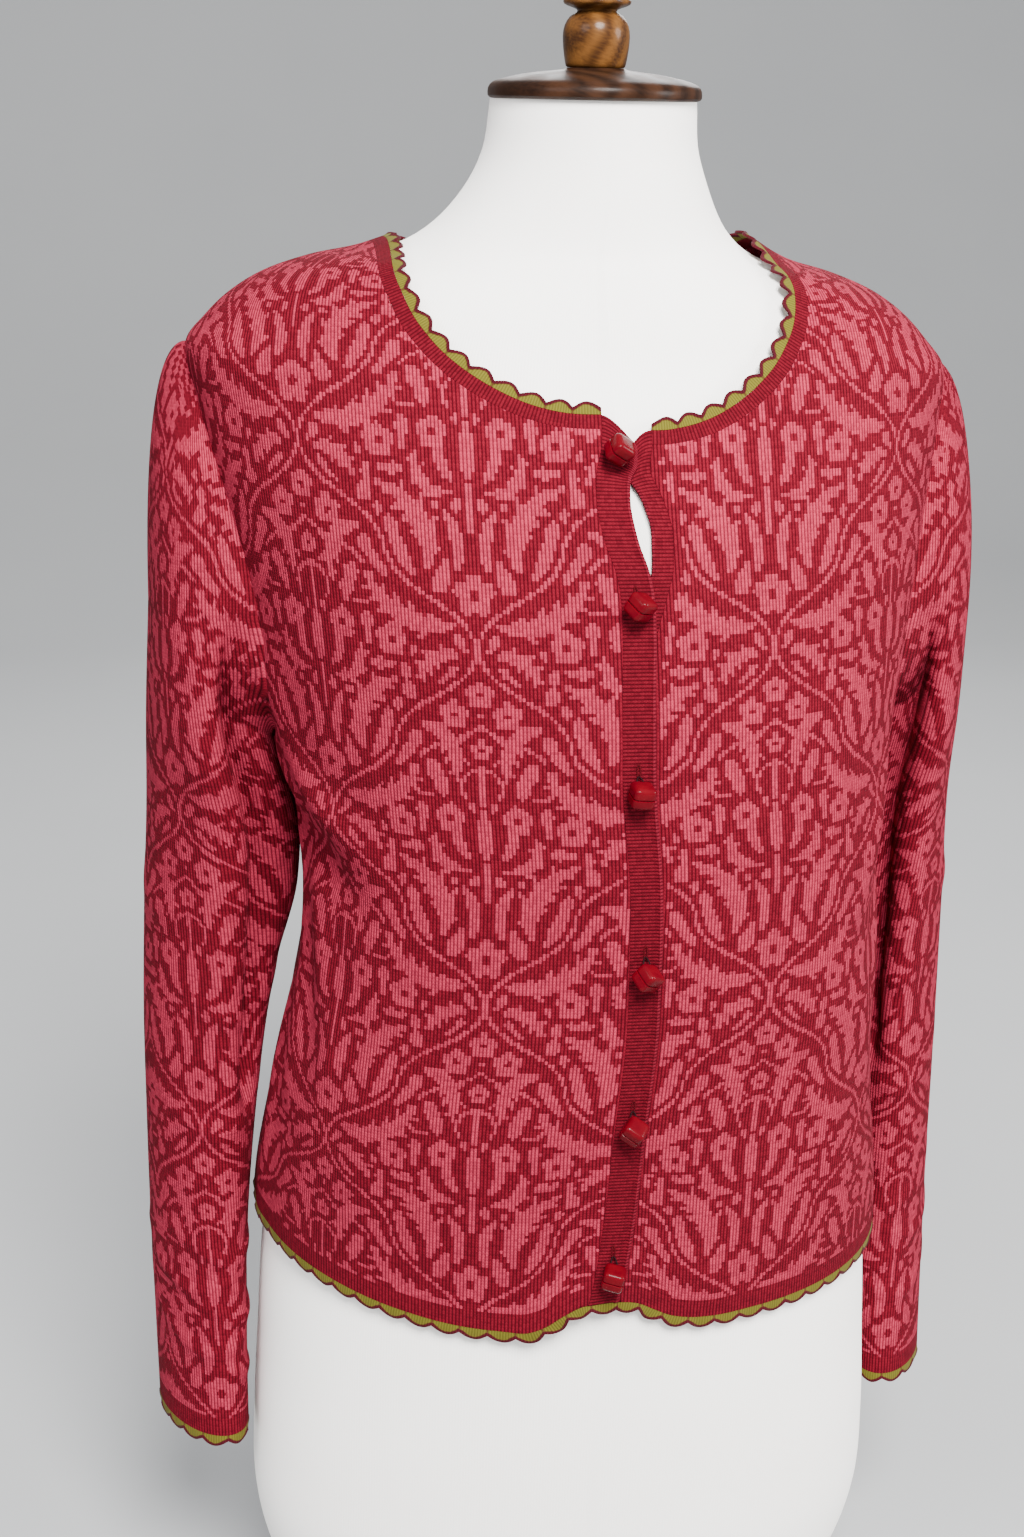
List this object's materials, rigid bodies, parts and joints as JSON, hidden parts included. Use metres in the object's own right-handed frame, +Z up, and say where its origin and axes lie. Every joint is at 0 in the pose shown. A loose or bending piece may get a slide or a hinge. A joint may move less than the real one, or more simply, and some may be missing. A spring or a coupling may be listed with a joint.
{
  "type": "button cardigan on a dress form",
  "caption": "Fitted long-sleeved knitted cardigan with a damask pattern and scalloped edgings, buttoned on a limbless padded dress form with a turned wooden neck cap.",
  "frame": {"origin": "centre of the dress form's flat base, on the surface it stands on", "axes": "+Z up; the buttoned front faces -Y; the wearer's left sleeve is at +X"},
  "size_m": [0.4641, 0.2875, 0.9276],
  "materials": {
    "jersey": "matt off-white jersey cover",
    "knit": "fine jacquard knit, crimson with rose pattern",
    "band_knit": "plain crimson knit",
    "edging": "olive yarn with a dark red outline",
    "button": "glossy",
    "dark_wood": "varnished",
    "warm_wood": "varnished"
  },
  "bodies": {
    "root": {"back": "knit", "button_1": "button", "button_2": "button", "button_3": "button", "button_4": "button", "button_5": "button", "button_6": "button", "finial": "warm_wood", "form_torso": "jersey", "hem_edging": "edging", "left_band": "band_knit", "left_cuff_edging": "edging", "left_front": "knit", "left_sleeve": "knit", "neck_cap": "dark_wood", "neck_edging": "edging", "neckband": "band_knit", "right_band": "band_knit", "right_cuff_edging": "edging", "right_front": "knit", "right_sleeve": "knit"}
  },
  "joints": []
}
